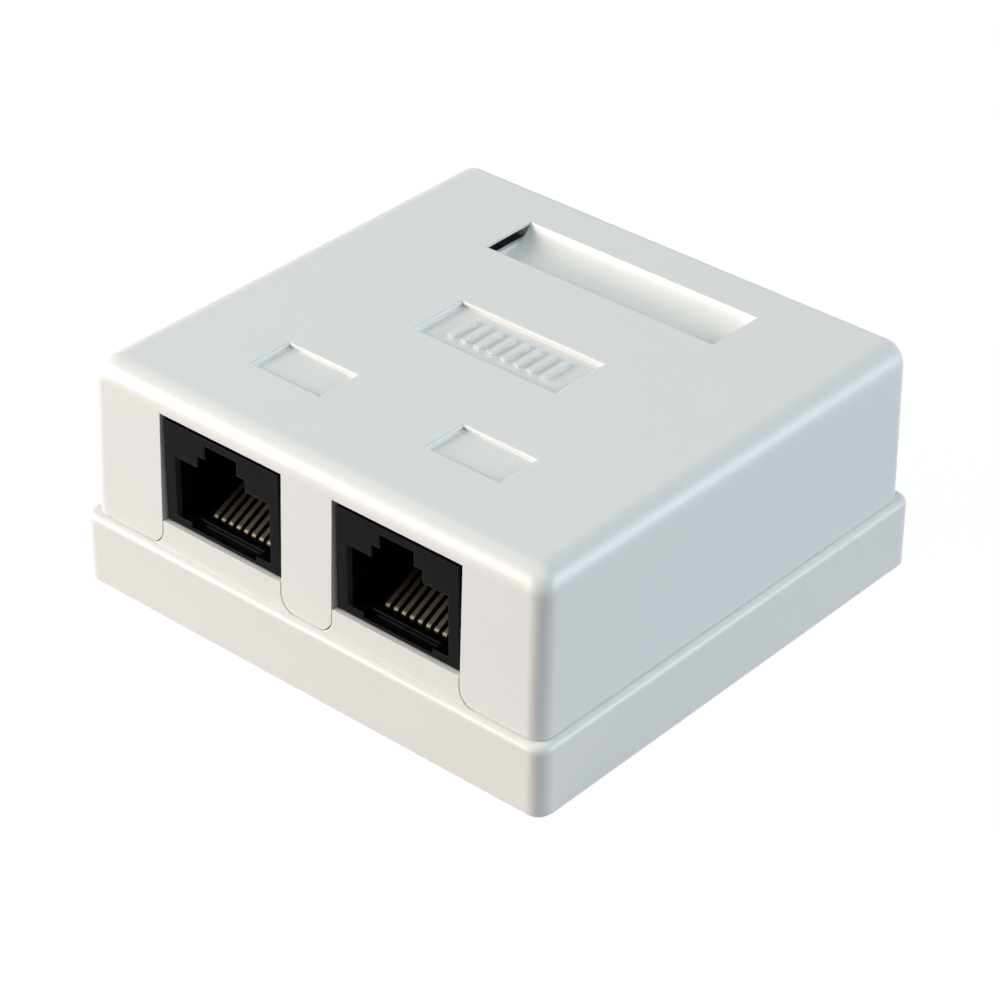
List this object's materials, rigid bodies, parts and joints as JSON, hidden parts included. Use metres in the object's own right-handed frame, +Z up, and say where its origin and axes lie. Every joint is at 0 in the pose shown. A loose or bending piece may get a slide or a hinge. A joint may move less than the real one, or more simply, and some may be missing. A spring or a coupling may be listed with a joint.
{
  "type": "surface mount jack box",
  "caption": "Low rectangular surface-mounted network outlet: stepped base, clip-on cover with rounded edges and a label recess, and black modular jacks in the front.",
  "frame": {"origin": "middle of the base's underside, on the wall or desk", "axes": "+X to the right seen from the ports, -Y out of the ports, +Z up out of the mounting surface"},
  "size_m": [0.06, 0.057, 0.0255],
  "materials": {
    "cover_plastic": "white satin moulded plastic",
    "base_plastic": "white satin moulded plastic",
    "jack_plastic": "black moulded plastic",
    "carrier_plastic": "black moulded plastic",
    "idc_plastic": "off-white moulded plastic",
    "circuit_board": "green solder mask on glass fibre board",
    "contact_gold": "gold-plated wire",
    "idc_metal": "tin-plated phosphor bronze",
    "screw_steel": "zinc-plated steel"
  },
  "bodies": {
    "base_body": {"base": "base_plastic", "circuit_board": "circuit_board", "board_screw_front": "screw_steel", "board_screw_rear": "screw_steel", "jack_housing_left": "jack_plastic", "contact_carrier_left": "carrier_plastic", "idc_block_left": "idc_plastic", "contact_wire_left_1": "contact_gold", "contact_wire_left_2": "contact_gold", "contact_wire_left_3": "contact_gold", "contact_wire_left_4": "contact_gold", "contact_wire_left_5": "contact_gold", "contact_wire_left_6": "contact_gold", "contact_wire_left_7": "contact_gold", "contact_wire_left_8": "contact_gold", "idc_contact_left_1": "idc_metal", "idc_contact_left_2": "idc_metal", "idc_contact_left_3": "idc_metal", "idc_contact_left_4": "idc_metal", "idc_contact_left_5": "idc_metal", "idc_contact_left_6": "idc_metal", "idc_contact_left_7": "idc_metal", "idc_contact_left_8": "idc_metal", "jack_housing_right": "jack_plastic", "contact_carrier_right": "carrier_plastic", "idc_block_right": "idc_plastic", "contact_wire_right_1": "contact_gold", "contact_wire_right_2": "contact_gold", "contact_wire_right_3": "contact_gold", "contact_wire_right_4": "contact_gold", "contact_wire_right_5": "contact_gold", "contact_wire_right_6": "contact_gold", "contact_wire_right_7": "contact_gold", "contact_wire_right_8": "contact_gold", "idc_contact_right_1": "idc_metal", "idc_contact_right_2": "idc_metal", "idc_contact_right_3": "idc_metal", "idc_contact_right_4": "idc_metal", "idc_contact_right_5": "idc_metal", "idc_contact_right_6": "idc_metal", "idc_contact_right_7": "idc_metal", "idc_contact_right_8": "idc_metal"},
    "cover_body": {"cover": "cover_plastic"}
  },
  "joints": [
    {"name": "cover_lift", "type": "slide", "parent": "base_body", "child": "cover_body", "axis": [0, 0, 1], "range_m": [0, 0.03]}
  ]
}
